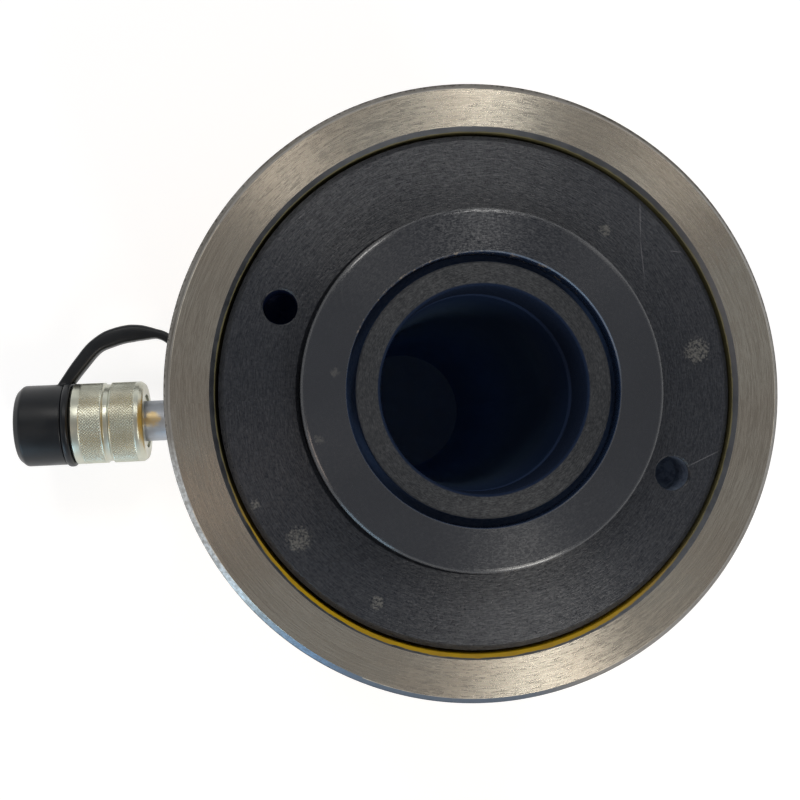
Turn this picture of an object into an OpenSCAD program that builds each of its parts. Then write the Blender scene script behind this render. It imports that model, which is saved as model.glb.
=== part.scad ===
// Hollow plunger cylinder, single acting with spring return, 60 ton class.
// Millimetres. The base stands on z = 0, the plunger axis is +Z and the inlet
// coupler points along -X. Threads and knurling are left to the visual scene,
// so threaded faces are drawn plain.

/* [Cylinder] */
// Outside diameter of the barrel
body_od = 159; // [150:0.5:185]
// Major diameter of the collar thread at the top of the barrel
collar_od = 158.75; // [149:0.25:184]
// Length of the collar thread
collar_len = 48; // [30:1:60]
// Diameter of the pressure bore
bore_d = 124; // [118:0.5:126]
// Thickness of the closed base
base_t = 26; // [24:0.5:32]
// Working stroke of the plunger
stroke = 76; // [40:1:160]
// Chamfer on the outer edge of the top face
rim_chamfer = 1.9; // [1:0.1:3]
// Chamfer on the inner edge of the top face
mouth_chamfer = 1.6; // [1:0.1:2.5]

/* [Plunger] */
// Diameter of the plunger stem
plunger_d = 90.5; // [88:0.5:94]
// Height of the retracted plunger above the barrel
plunger_rise = 10; // [6:0.5:20]
// Height of the piston head
piston_h = 46; // [44:0.5:56]
// Rounding of the plunger's top edge
plunger_edge = 1.4; // [0.6:0.1:2]
// Diameter of the hole through the centre
hole_d = 51.4; // [48:0.2:54]
// Wall of the centre tube
tube_wall = 6.8; // [5.4:0.1:7]

/* [Saddle] */
// Bore of the plunger's saddle thread
saddle_d = 68; // [67.4:0.1:70]
// Height of the hollow saddle
saddle_h = 17.5; // [12:0.5:24]
// Width of the groove round the saddle's rim
rim_groove_w = 2.3; // [1.5:0.1:3.5]
// Depth of the groove round the saddle's rim
rim_groove = 5; // [3:0.5:8]

/* [Gland] */
// Outside diameter of the gland nut
gland_d = 131.4; // [129:0.2:134]
// Height of the threaded part of the gland nut
gland_h = 34; // [30:0.5:40]
// Chamfer on the gland's outer edge
gland_chamfer = 1.5; // [0.5:0.1:2.5]
// Diameter of the two spanner holes
spanner_d = 8.8; // [6:0.1:10]
// Distance of the spanner holes' centres from the side of the plunger
spanner_inset = 9.2; // [8:0.1:12]
// Straight depth of the spanner holes
spanner_depth = 11; // [6:0.5:16]
// Direction of the spanner holes, anticlockwise from +X
spanner_angle = 154.7; // [0:0.1:180]

/* [Return spring] */
// Radial clearance of the return spring, to the bore and to the gland's skirt
spring_gap = 1.925; // [1:0.025:3]
// Axial height of the spring wire
wire_h = 6.4; // [5:0.1:8]
// Turns of the return spring, end coils included
spring_turns = 6.5; // [4.5:0.5:9.5]

/* [Base] */
// Diameter of the two base mounting holes
base_hole_d = 13.5; // [10:0.1:15]
// Pitch circle of the base mounting holes
base_hole_pcd = 130.3; // [120:0.1:136]
// Depth of the base mounting holes
base_hole_depth = 18; // [12:0.5:20]

/* [Inlet coupler] */
// Height of the inlet port above the base
port_z = 32.5; // [31:0.5:38]
// Outside diameter of the port nipple
nipple_d = 17.1; // [13:0.1:19]
// Free length between the barrel and the union nut
nut_gap = 31.5; // [26:0.5:45]
// Outside diameter of the union nut
nut_d = 34; // [32:0.2:38]
// Length of the union nut
nut_len = 30; // [30:0.2:36]
// Diameter of the dust cap
cap_d = 34; // [32:0.2:38]
// Length of the dust cap's head
cap_head = 19.5; // [16:0.5:30]
// Diameter of the strap's loop round the cap
loop_d = 35.8; // [34:0.2:40]
// Thickness of the strap
strap_t = 5.4; // [4:0.2:6]
// Width of the strap
strap_w = 8; // [6:0.5:10]

/* [Fits] */
// Radial clearance of a running or guided face
run_gap = 0.15; // [0.1:0.01:0.2]
// Radial clearance of a seated face or a seal
seat_gap = 0.05; // [0.03:0.01:0.08]

/* [Hidden] */
$fn = 96;
e = 0.1;

body_r = body_od / 2;
collar_r = collar_od / 2;
bore_r = bore_d / 2;
stem_r = plunger_d / 2;
hole_r = hole_d / 2;
tube_r = hole_r + tube_wall;

// Vertical stack, from the base up
foot_gap = 0.2;
piston_z = base_t + foot_gap;
piston_top = base_t + piston_h;
stop_gap = 0.3;
stop_z = piston_top + stroke + stop_gap;
spring_slack = 6.1;
nose_z = stop_z + spring_turns * wire_h + spring_slack;
nose_h = 7;
seat_z = nose_z + nose_h;
body_h = seat_z + gland_h;
plunger_top = body_h + plunger_rise;
gland_top = body_h - 0.2;

// Base and its seals
tube_flange_r = tube_r + 4.5;
tube_flange_h = 5.6;
tube_foot = 0.2;
base_groove_z = 11;
o_ring_d = 3.4;
backup_h = 1.6;
base_groove_h = o_ring_d + backup_h + 0.5;
base_groove_r = tube_r + o_ring_d + 2 * seat_gap;

// Retaining ring of the centre tube
clip_h = 2.4;
clip_z = base_t + e;
clip_r = tube_r + 4;
clip_root = tube_r - 1.5;

// Gland fit in the barrel
mouth_r = gland_d / 2 + 0.6;
nose_r = bore_r - 2 * run_gap;
guide_bore = stem_r + 2 * run_gap;
skirt_r = guide_bore + 3.2;
guide_t = 2.4;
gland_guide_h = 15;
gland_guide_z = seat_z + 3;
wiper_h = 6;
wiper_t = 3.6;
wiper_drop = 10.5;
wiper_z = gland_top - wiper_drop;
gland_lead = 0.9;
spanner_pcd = plunger_d + 2 * spanner_inset;

// Piston grooves, from the bottom up
piston_r = bore_r - run_gap;
relief_r = piston_r - 4;
relief_h = 13;
relief_top = piston_z + relief_h;
seal_h = 10;
seal_z = relief_top + 5;
piston_backup_h = 3;
seal_groove_h = seal_h + piston_backup_h + 0.4;
seal_w = 7;
piston_groove_r = piston_r - seal_w;
guide_h = 8;
guide_z = seal_z + seal_groove_h + 3;
guide_groove_r = piston_r - guide_t;

// Bore of the plunger round the centre tube
inner_r = tube_r + run_gap;
inner_seal_w = 5.5;
inner_groove_r = inner_r + inner_seal_w;
inner_guide_r = inner_r + guide_t;
stem_bore_r = tube_r + 0.6;
clip_room_r = clip_r + 2;
clip_room_h = clip_h + 2.2;
saddle_r = saddle_d / 2;
saddle_seat = plunger_top - saddle_h - 1.5;
saddle_top = plunger_top - 0.3;
saddle_foot = saddle_top - saddle_h;
tube_top = saddle_seat - 1;
tube_wiper_h = 4;
tube_wiper_t = 3;
tube_wiper_drop = 14;
tube_wiper_z = tube_top - tube_wiper_drop;

// Return spring
spring_r = (skirt_r + bore_r) / 2;
wire_w = bore_r - skirt_r - 2 * spring_gap;
spring_z = piston_top + e;
spring_len = nose_z - piston_top - 2 * e;
end_turns = 0.8;

// Inlet: distances u run outwards from the plunger axis
nipple_r = nipple_d / 2;
nipple_bore = nipple_r - 3.9;
port_depth = 12.5;
port_in = body_r - port_depth;
oilway_r = 3.5;
oilway_in = bore_r - 8;
nut_back = body_r + nut_gap;
nut_front = nut_back + nut_len;
nut_r = nut_d / 2;
neck_set = 0.8;
coupler_back = nut_back + neck_set;
nipple_end = nut_back + 5.7;
socket_r = nipple_r + seat_gap;
neck_r = nipple_r + 2.6;
nut_wall = 6.6;
flange_r = nut_r - 3.2;
flange_h = 5.5;
grip_back = 15.4;
grip_half = 0.9;
grip_depth = 0.7;
nut_bevel_r = 1.3;
nut_bevel_u = 1.9;
nut_lip = 0.9;
nose_or = flange_r - 2;
nose_reach = 21.5;
nose_end = nut_back + nose_reach;
nut_bore = flange_r + 0.4;
snap_h = 1.2;
snap_z = coupler_back + 1.1;
snap_root = neck_r - 1;
snap_w = 2.2;
recess_r = snap_root + snap_w + 0.5;
recess_h = neck_set + 1.1 + snap_h + 0.5;
coupler_o_z = nose_end - 5;
coupler_o_d = 2;

// Check valve inside the coupler
ball_r = 4;
valve_seat_r = 3;
valve_seat_l = 3;
ball_u = nose_end - valve_seat_l - sqrt(pow(ball_r + seat_gap, 2) - pow(valve_seat_r, 2));
chamber_r = 5;
chamber_u = nipple_end + 1.6;
check_wire = 0.8;
check_turns = 3;
check_r = chamber_r - check_wire / 2 - 0.5;

// Dust cap and strap
plug_r = nut_bore - run_gap;
plug_len = 7.4;
plug_in = nut_front - plug_len;
cap_cup_r = plug_r - 3;
loop_u = nut_front + 0.2;
loop_h = 3;
cap_u = loop_u + loop_h + 0.15;
cap_end = cap_u + cap_head;
cap_r = cap_d / 2;
cap_bevel_r = 2.6;
cap_bevel_u = 3;
cap_floor = 6;
strap_ring_gap = 13.5;
strap_ring_u = body_r + strap_ring_gap;
strap_ring_h = 6;
strap_ring_r = nipple_r + 3.6;
strap_rise = 52.5;
strap_run = 19.8;
bend_r = 16;
turn_r = 8.5;
strap_x0 = -(loop_u + loop_h - 0.7);
strap_y0 = loop_d / 2 - 1.9;
bend_x = strap_x0 + strap_run * cos(strap_rise);
bend_y = strap_y0 + strap_run * sin(strap_rise);
crest_x = bend_x + bend_r * sin(strap_rise);
crest_y = bend_y + bend_r * (1 - cos(strap_rise));
turn_x = -strap_ring_u - turn_r;

// A plain ring between two radii and two heights
module ring(r_in, r_out, z0, z1) {
  rotate_extrude()
    translate([r_in, z0])
      square([r_out - r_in, z1 - z0]);
}

// Children drawn along +Z are laid along the inlet axis, outwards
module inlet() {
  translate([0, 0, port_z])
    rotate([0, -90, 0])
      children();
}

// Lipped seal section: r0 is the static side, r1 the sliding side, mouth downwards
module lip_section(r0, r1, z, h) {
  d = sign(r1 - r0);
  w = abs(r1 - r0);
  polygon([
    [r0, z + h], [r1 - d * 0.12 * w, z + h], [r1 - d * 0.12 * w, z + 0.5 * h],
    [r1, z + 0.3 * h], [r1, z + 0.06 * h], [r1 - d * 0.2 * w, z],
    [r0 + d * 0.56 * w, z + 0.42 * h], [r0 + d * 0.44 * w, z + 0.42 * h],
    [r0 + d * 0.2 * w, z], [r0, z + 0.06 * h]
  ]);
}

// Helical wire: turns that lie close at both ends and open between them
function coil_z(t, turns, len, h, dead) =
  let (low = h * dead, mid = len - h - 2 * low, open = turns - 2 * dead)
  t < dead ? t * h
  : t > turns - dead ? low + mid + (t - turns + dead) * h
  : low + mid * (t - dead) / open;

module coil(r, turns, len, w, h, dead, steps) {
  c = 0.16 * h;
  section = [
    [-w / 2 + c, -h / 2], [w / 2 - c, -h / 2], [w / 2, -h / 2 + c], [w / 2, h / 2 - c],
    [w / 2 - c, h / 2], [-w / 2 + c, h / 2], [-w / 2, h / 2 - c], [-w / 2, -h / 2 + c]
  ];
  k = len(section);
  n = round(turns * steps);
  points = [
    for (i = [0 : n], p = section)
      let (t = i * turns / n, a = 360 * t)
      [(r + p[0]) * cos(a), (r + p[0]) * sin(a), h / 2 + coil_z(t, turns, len, h, dead) + p[1]]
  ];
  sides = [
    for (i = [0 : n - 1], j = [0 : k - 1])
      [i * k + j, (i + 1) * k + j, (i + 1) * k + (j + 1) % k, i * k + (j + 1) % k]
  ];
  first = [for (j = [0 : k - 1]) j];
  last = [for (j = [0 : k - 1]) n * k + k - 1 - j];
  polyhedron(points = points, faces = concat(sides, [first], [last]), convexity = 12);
}

// Barrel, base and collar in one forging, painted outside, bare on the collar
module cylinder_body() {
  thread_z = body_h - collar_len;
  relief_w = 4;
  relief_d = 1.4;
  color([0.93, 0.69, 0.08])
  difference() {
    rotate_extrude()
      polygon([
        [tube_flange_r + 0.2, 0], [body_r - 2, 0], [body_r, 2],
        [body_r, thread_z - relief_w - 2], [body_r - relief_d, thread_z - relief_w - 2 + relief_d],
        [body_r - relief_d, thread_z - relief_d], [collar_r, thread_z],
        [collar_r, body_h - rim_chamfer], [collar_r - rim_chamfer, body_h],
        [mouth_r + mouth_chamfer, body_h], [mouth_r, body_h - mouth_chamfer],
        [mouth_r, seat_z], [bore_r + 0.8, seat_z], [bore_r, seat_z - 0.8],
        [bore_r, base_t + 2], [bore_r - 2, base_t],
        [tube_r + seat_gap + 0.6, base_t], [tube_r + seat_gap, base_t - 0.6],
        [tube_r + seat_gap, base_groove_z + base_groove_h],
        [base_groove_r, base_groove_z + base_groove_h], [base_groove_r, base_groove_z],
        [tube_r + seat_gap, base_groove_z], [tube_r + seat_gap, tube_foot + tube_flange_h],
        [tube_flange_r + 0.2, tube_foot + tube_flange_h]
      ]);
    inlet() {
      translate([0, 0, port_in - 0.3])
        cylinder(r = nipple_r + seat_gap, h = body_r);
      translate([0, 0, body_r - 1.1])
        cylinder(r1 = nipple_r, r2 = nipple_r + 2.4, h = 2.4);
      translate([0, 0, oilway_in])
        cylinder(r = oilway_r, h = port_in - oilway_in);
    }
    for (s = [-1, 1])
      translate([0, s * base_hole_pcd / 2, 0]) {
        translate([0, 0, -1])
          cylinder(d = base_hole_d, h = base_hole_depth + 1);
        translate([0, 0, base_hole_depth])
          cylinder(d1 = base_hole_d, d2 = 0.4, h = base_hole_d * 0.3);
        translate([0, 0, -0.01])
          cylinder(d1 = base_hole_d + 2.4, d2 = base_hole_d, h = 1.2);
      }
  }
}

// Centre tube that the plunger slides on and the pull rod passes through
module center_tube() {
  color([0.74, 0.75, 0.76])
  rotate_extrude()
    polygon([
      [hole_r + 0.8, tube_foot], [tube_flange_r - 0.6, tube_foot], [tube_flange_r, tube_foot + 0.6],
      [tube_flange_r, tube_foot + tube_flange_h - 0.05], [tube_r, tube_foot + tube_flange_h - 0.05],
      [tube_r, clip_z], [clip_root, clip_z], [clip_root, clip_z + clip_h + 0.1],
      [tube_r, clip_z + clip_h + 0.1], [tube_r, tube_top - 5], [tube_r - 1.4, tube_top],
      [hole_r + 0.8, tube_top], [hole_r, tube_top - 0.8], [hole_r, tube_foot + 0.8]
    ]);
}

// External retaining ring with its lugs, holding the centre tube up to the base
module tube_retaining_ring() {
  lug = 9;
  color([0.2, 0.2, 0.21])
  difference() {
    rotate([0, 0, lug])
      rotate_extrude(angle = 360 - 2 * lug)
        translate([clip_root + seat_gap, clip_z + 0.05])
          square([clip_r - clip_root - seat_gap, clip_h]);
    for (s = [-1, 1])
      rotate([0, 0, s * (lug + 4)])
        translate([tube_r + 1.7, 0, clip_z - 1])
          cylinder(d = 2, h = clip_h + 2);
  }
}

// O-ring between the base and the centre tube
module tube_seal() {
  color([0.05, 0.05, 0.05])
  rotate_extrude()
    translate([tube_r + seat_gap + o_ring_d / 2, base_groove_z + 0.2 + backup_h + o_ring_d / 2])
      circle(d = o_ring_d);
}

// Backup ring on the unpressed side of the O-ring
module tube_backup_ring() {
  color([0.9, 0.9, 0.86])
  ring(tube_r + seat_gap, base_groove_r - seat_gap, base_groove_z + 0.1, base_groove_z + 0.1 + backup_h);
}

// Gland nut: guides the plunger, seats the spring and stops the stroke
module gland_nut() {
  color([0.12, 0.12, 0.12])
  difference() {
    rotate_extrude()
      polygon([
        [guide_bore + gland_lead, gland_top], [gland_d / 2 - gland_chamfer, gland_top],
        [gland_d / 2, gland_top - gland_chamfer], [gland_d / 2, seat_z],
        [nose_r, seat_z], [nose_r, nose_z + 0.6], [nose_r - 0.6, nose_z], [skirt_r, nose_z],
        [skirt_r, stop_z + 0.6], [skirt_r - 0.6, stop_z], [guide_bore + 0.5, stop_z],
        [guide_bore, stop_z + 0.5],
        [guide_bore, gland_guide_z], [guide_bore + guide_t, gland_guide_z],
        [guide_bore + guide_t, gland_guide_z + gland_guide_h + 0.2],
        [guide_bore, gland_guide_z + gland_guide_h + 0.2],
        [guide_bore, wiper_z], [guide_bore + wiper_t, wiper_z],
        [guide_bore + wiper_t, wiper_z + wiper_h + 0.2], [guide_bore, wiper_z + wiper_h + 0.2],
        [guide_bore, gland_top - gland_lead]
      ]);
    rotate([0, 0, spanner_angle])
      for (s = [-1, 1])
        translate([s * spanner_pcd / 2, 0, gland_top - spanner_depth]) {
          cylinder(d = spanner_d, h = spanner_depth + 1);
          translate([0, 0, -0.3 * spanner_d])
            cylinder(d1 = 0.3, d2 = spanner_d, h = 0.3 * spanner_d);
          translate([0, 0, spanner_depth - 0.4])
            cylinder(d1 = spanner_d, d2 = spanner_d + 1, h = 0.5);
        }
  }
}

// Wear ring that carries the plunger in the gland
module gland_guide_ring() {
  color([0.45, 0.33, 0.2])
  ring(stem_r + seat_gap, guide_bore + guide_t - seat_gap,
       gland_guide_z + 0.1, gland_guide_z + 0.1 + gland_guide_h);
}

// Wiper in the gland, its lip leaning up on the plunger
module plunger_wiper() {
  r0 = guide_bore + wiper_t - seat_gap;
  r1 = stem_r + seat_gap;
  z = wiper_z + 0.1;
  color([0.07, 0.07, 0.07])
  rotate_extrude()
    polygon([
      [r0, z], [r1 + 1.2, z], [r1 + 1.2, z + 0.45 * wiper_h], [r1, z + 0.85 * wiper_h],
      [r1, z + wiper_h], [r1 + 0.9, z + wiper_h], [r1 + 2.2, z + 0.6 * wiper_h],
      [r1 + 3, z + wiper_h], [r0, z + wiper_h]
    ]);
}

// Return spring between the piston head and the gland
module return_spring() {
  color([0.42, 0.43, 0.45])
  translate([0, 0, spring_z])
    coil(spring_r, spring_turns, spring_len, wire_w, wire_h, end_turns, 36);
}

// Hollow plunger with its piston head, seal grooves and saddle thread
module plunger() {
  edge = [
    for (a = [0 : 15 : 90])
      [stem_r - plunger_edge * (1 - cos(a)), plunger_top - plunger_edge * (1 - sin(a))]
  ];
  color([0.16, 0.16, 0.17])
  rotate_extrude()
    polygon(concat(
      [
        [clip_room_r, piston_z], [relief_r - 1, piston_z], [relief_r, piston_z + 1],
        [relief_r, relief_top], [piston_r, relief_top + 4],
        [piston_r, seal_z], [piston_groove_r, seal_z],
        [piston_groove_r, seal_z + seal_groove_h], [piston_r, seal_z + seal_groove_h],
        [piston_r, guide_z], [guide_groove_r, guide_z],
        [guide_groove_r, guide_z + guide_h + 0.2], [piston_r, guide_z + guide_h + 0.2],
        [piston_r, piston_top - 0.6], [piston_r - 0.6, piston_top], [stem_r, piston_top]
      ],
      edge,
      [
        [saddle_r + 0.3, plunger_top], [saddle_r, plunger_top - 0.3], [saddle_r, saddle_seat],
        [stem_bore_r, saddle_seat],
        [stem_bore_r, tube_wiper_z + tube_wiper_h + 0.2],
        [stem_bore_r + tube_wiper_t, tube_wiper_z + tube_wiper_h + 0.2],
        [stem_bore_r + tube_wiper_t, tube_wiper_z], [stem_bore_r, tube_wiper_z],
        [stem_bore_r, piston_top + 3], [inner_r, piston_top + 1],
        [inner_r, guide_z + guide_h + 0.2], [inner_guide_r, guide_z + guide_h + 0.2],
        [inner_guide_r, guide_z], [inner_r, guide_z],
        [inner_r, seal_z + seal_groove_h], [inner_groove_r, seal_z + seal_groove_h],
        [inner_groove_r, seal_z], [inner_r, seal_z],
        [inner_r, piston_z + clip_room_h], [clip_room_r, piston_z + clip_room_h]
      ]
    ));
}

// Hollow saddle screwed into the plunger, its rim level with the plunger face
module hollow_saddle() {
  rim_r = saddle_r - rim_groove_w;
  color([0.27, 0.26, 0.25])
  rotate_extrude()
    polygon([
      [hole_r + 0.5, saddle_foot], [saddle_r - seat_gap - 0.8, saddle_foot],
      [saddle_r - seat_gap, saddle_foot + 0.8],
      [saddle_r - seat_gap, saddle_top - rim_groove], [rim_r, saddle_top - rim_groove],
      [rim_r, saddle_top - 0.4], [rim_r - 0.4, saddle_top],
      [hole_r + 0.25, saddle_top], [hole_r, saddle_top - 0.25], [hole_r, saddle_foot + 0.5]
    ]);
}

// Lip seal of the piston on the barrel
module piston_seal() {
  color([0.1, 0.22, 0.42])
  rotate_extrude()
    lip_section(piston_groove_r + seat_gap, bore_r - seat_gap, seal_z + 0.1, seal_h);
}

// Backup ring above the piston seal
module piston_backup_ring() {
  z = seal_z + 0.2 + seal_h;
  color([0.9, 0.9, 0.86])
  ring(piston_groove_r + seat_gap, bore_r - 2 * seat_gap, z, z + piston_backup_h);
}

// Wear ring of the piston on the barrel
module piston_guide_ring() {
  color([0.45, 0.33, 0.2])
  ring(guide_groove_r + seat_gap, bore_r - seat_gap, guide_z + 0.1, guide_z + 0.1 + guide_h);
}

// Lip seal of the piston on the centre tube
module inner_seal() {
  color([0.1, 0.22, 0.42])
  rotate_extrude()
    lip_section(inner_groove_r - seat_gap, tube_r + seat_gap, seal_z + 0.1, seal_h);
}

// Backup ring above the inner seal
module inner_backup_ring() {
  z = seal_z + 0.2 + seal_h;
  color([0.9, 0.9, 0.86])
  ring(tube_r + 2 * seat_gap, inner_groove_r - seat_gap, z, z + piston_backup_h);
}

// Wear ring of the piston on the centre tube
module inner_guide_ring() {
  color([0.45, 0.33, 0.2])
  ring(tube_r + seat_gap, inner_guide_r - seat_gap, guide_z + 0.1, guide_z + 0.1 + guide_h);
}

// Wiper under the saddle, keeping dirt off the centre tube
module tube_wiper() {
  color([0.07, 0.07, 0.07])
  rotate_extrude()
    lip_section(stem_bore_r + tube_wiper_t - seat_gap, tube_r + seat_gap,
                tube_wiper_z + 0.1, tube_wiper_h);
}

// Pipe nipple between the port and the coupler
module port_nipple() {
  color([0.66, 0.67, 0.69])
  inlet()
    rotate_extrude()
      polygon([
        [nipple_bore, port_in], [nipple_r - 1, port_in], [nipple_r, port_in + 1],
        [nipple_r, nipple_end - 1], [nipple_r - 1, nipple_end], [nipple_bore, nipple_end]
      ]);
}

// Coupler half: nipple socket, nut shoulder, nose and valve chamber
module coupler_body() {
  shoulder = nut_back + nut_wall + 0.4;
  color([0.72, 0.71, 0.68])
  inlet()
    rotate_extrude()
      polygon([
        [socket_r, coupler_back], [neck_r - 0.8, coupler_back], [neck_r, coupler_back + 0.8],
        [neck_r, snap_z], [snap_root, snap_z], [snap_root, snap_z + snap_h + 0.2],
        [neck_r, snap_z + snap_h + 0.2], [neck_r, shoulder], [flange_r, shoulder],
        [flange_r, shoulder + flange_h], [nose_or, shoulder + flange_h + 1],
        [nose_or, coupler_o_z], [nose_or - coupler_o_d - 0.1, coupler_o_z],
        [nose_or - coupler_o_d - 0.1, coupler_o_z + coupler_o_d + 0.4],
        [nose_or, coupler_o_z + coupler_o_d + 0.4], [nose_or, nose_end - 1],
        [nose_or - 1, nose_end], [valve_seat_r, nose_end], [valve_seat_r, nose_end - valve_seat_l],
        [chamber_r, nose_end - valve_seat_l - chamber_r + valve_seat_r],
        [chamber_r, chamber_u], [nipple_bore - 1, chamber_u],
        [nipple_bore - 1, nipple_end + 0.1], [socket_r, nipple_end + 0.1]
      ]);
}

// Union nut that turns on the coupler, with a groove between its two grip bands
module union_nut() {
  grip = nut_back + grip_back;
  slope = grip_half + grip_depth;
  color([0.72, 0.71, 0.68])
  inlet()
    rotate_extrude()
      polygon([
        [neck_r + run_gap, nut_back + recess_h], [recess_r, nut_back + recess_h],
        [recess_r, nut_back], [nut_r - nut_bevel_r, nut_back], [nut_r, nut_back + nut_bevel_u],
        [nut_r, grip - slope], [nut_r - grip_depth, grip - grip_half],
        [nut_r - grip_depth, grip + grip_half], [nut_r, grip + slope],
        [nut_r, nut_front - nut_lip], [nut_r - nut_lip, nut_front], [nut_bore + nut_lip, nut_front],
        [nut_bore, nut_front - nut_lip], [nut_bore, nut_back + nut_wall],
        [neck_r + run_gap, nut_back + nut_wall]
      ]);
}

// Snap ring behind the union nut
module nut_snap_ring() {
  gap = 14;
  color([0.3, 0.3, 0.31])
  inlet()
    rotate([0, 0, 180 + gap])
      rotate_extrude(angle = 360 - 2 * gap)
        translate([snap_root + seat_gap, snap_z + 0.1])
          square([snap_w, snap_h]);
}

// O-ring on the coupler's nose
module coupler_seal() {
  color([0.05, 0.05, 0.05])
  inlet()
    rotate_extrude()
      translate([nose_or - coupler_o_d / 2 + 0.05, coupler_o_z + coupler_o_d / 2 + 0.2])
        circle(d = coupler_o_d);
}

// Check ball, held out on its seat by the check spring
module check_ball() {
  color([0.8, 0.8, 0.82])
  inlet()
    translate([0, 0, ball_u])
      sphere(r = ball_r);
}

// Small spring behind the check ball
module check_spring() {
  reach = ball_u - sqrt(ball_r * ball_r - pow(check_r - check_wire / 2, 2)) - chamber_u;
  color([0.6, 0.6, 0.62])
  inlet()
    translate([0, 0, chamber_u + 0.05])
      coil(check_r, check_turns, reach - 0.15, check_wire, check_wire, 0.5, 24);
}

// Rubber dust cap: hollow plug in the nut and a bevelled head
module dust_cap() {
  color([0.06, 0.06, 0.06])
  inlet()
    rotate_extrude()
      polygon([
        [cap_cup_r + 0.6, plug_in], [plug_r - 1, plug_in], [plug_r, plug_in + 1.6],
        [plug_r, cap_u], [cap_r - 0.5, cap_u], [cap_r, cap_u + 0.5],
        [cap_r, cap_end - cap_bevel_u], [cap_r - 0.25 * cap_bevel_r, cap_end - 0.6 * cap_bevel_u],
        [cap_r - 0.65 * cap_bevel_r, cap_end - 0.2 * cap_bevel_u], [cap_r - cap_bevel_r, cap_end],
        [0, cap_end], [0, cap_end - cap_floor], [cap_cup_r - 2, cap_end - cap_floor],
        [cap_cup_r, cap_end - cap_floor - 2], [cap_cup_r, plug_in + 0.6]
      ]);
}

// Edge of the strap at the distance d from its centre line, from the cap to the nipple
function strap_edge(d) = concat(
  [[strap_x0 - d * sin(strap_rise), strap_y0 + d * cos(strap_rise)]],
  [
    for (i = [0 : 8])
      let (a = 90 + strap_rise * (1 - i / 8))
      [crest_x + (bend_r + d) * cos(a), crest_y - bend_r + (bend_r + d) * sin(a)]
  ],
  [
    for (i = [0 : 12])
      let (a = 90 - 7.5 * i)
      [turn_x + (turn_r + d) * cos(a), crest_y - turn_r + (turn_r + d) * sin(a)]
  ],
  [[d - strap_ring_u, nipple_r + 1.8]]
);

// Moulded strap: loop on the cap, arch beside the nut, ring on the nipple
module cap_strap() {
  upper = strap_edge(strap_t / 2);
  lower = strap_edge(-strap_t / 2);
  last = len(lower) - 1;
  color([0.06, 0.06, 0.06])
  union() {
    inlet()
      ring(plug_r + run_gap, loop_d / 2, loop_u, loop_u + loop_h);
    inlet()
      ring(nipple_r + run_gap, strap_ring_r, strap_ring_u - strap_ring_h / 2, strap_ring_u + strap_ring_h / 2);
    difference() {
      translate([0, 0, port_z - strap_w / 2])
        linear_extrude(height = strap_w)
          polygon(concat(upper, [for (i = [0 : last]) lower[last - i]]));
      inlet()
        translate([0, 0, nut_back])
          cylinder(r = loop_d / 2 - 0.4, h = nut_len + cap_head);
    }
  }
}

cylinder_body();
center_tube();
tube_retaining_ring();
tube_seal();
tube_backup_ring();
gland_nut();
gland_guide_ring();
plunger_wiper();
return_spring();
plunger();
hollow_saddle();
piston_seal();
piston_backup_ring();
piston_guide_ring();
inner_seal();
inner_backup_ring();
inner_guide_ring();
tube_wiper();
port_nipple();
coupler_body();
union_nut();
nut_snap_ring();
coupler_seal();
check_ball();
check_spring();
dust_cap();
cap_strap();
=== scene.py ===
"""Looks of the hollow plunger cylinder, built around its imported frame.

Lengths are millimetres, and become metres where MM is applied. The frame's own calls, the lamps and the
camera are given in metres. Colours given to lin are sRGB, 0 to 255.
"""
import math

import bmesh
import bpy
import numpy as np
from mathutils import Matrix, Vector


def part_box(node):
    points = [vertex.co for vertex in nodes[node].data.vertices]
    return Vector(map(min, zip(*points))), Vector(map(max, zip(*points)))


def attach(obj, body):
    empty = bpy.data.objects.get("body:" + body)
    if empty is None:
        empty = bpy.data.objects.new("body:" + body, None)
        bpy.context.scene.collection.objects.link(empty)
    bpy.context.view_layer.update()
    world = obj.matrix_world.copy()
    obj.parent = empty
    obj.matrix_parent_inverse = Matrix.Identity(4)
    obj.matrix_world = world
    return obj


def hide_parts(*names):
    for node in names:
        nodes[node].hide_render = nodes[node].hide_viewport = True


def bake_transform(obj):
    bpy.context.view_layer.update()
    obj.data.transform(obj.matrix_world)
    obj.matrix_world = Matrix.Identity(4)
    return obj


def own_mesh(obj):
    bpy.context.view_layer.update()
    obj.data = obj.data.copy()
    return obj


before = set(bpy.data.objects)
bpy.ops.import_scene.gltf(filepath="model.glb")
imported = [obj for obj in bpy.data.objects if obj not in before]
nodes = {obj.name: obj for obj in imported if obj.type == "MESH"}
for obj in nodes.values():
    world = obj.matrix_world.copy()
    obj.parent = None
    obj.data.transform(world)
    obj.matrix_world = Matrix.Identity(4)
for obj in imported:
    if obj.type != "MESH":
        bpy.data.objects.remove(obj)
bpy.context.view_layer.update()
scene = bpy.context.scene
scene.view_settings.view_transform = "Standard"

MM = 0.001
INCH = 25.4
TAU = 2 * math.pi


# Sizes from the frame
def corners(node):
    """Lowest and highest corner of a node at rest."""
    return [[round(c / MM, 3) for c in corner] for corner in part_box(node)]


BODY_TOP = corners("cylinder_body")[1]
BODY_R = BODY_TOP[0]
BODY_H = BODY_TOP[2]
GLAND_TOP = corners("gland_nut")[1][2]
PLUNGER_TOP = corners("plunger")[1][2]
SADDLE_R = corners("hollow_saddle")[1][0]
TUBE_TOP = corners("center_tube")[1][2]

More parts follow.
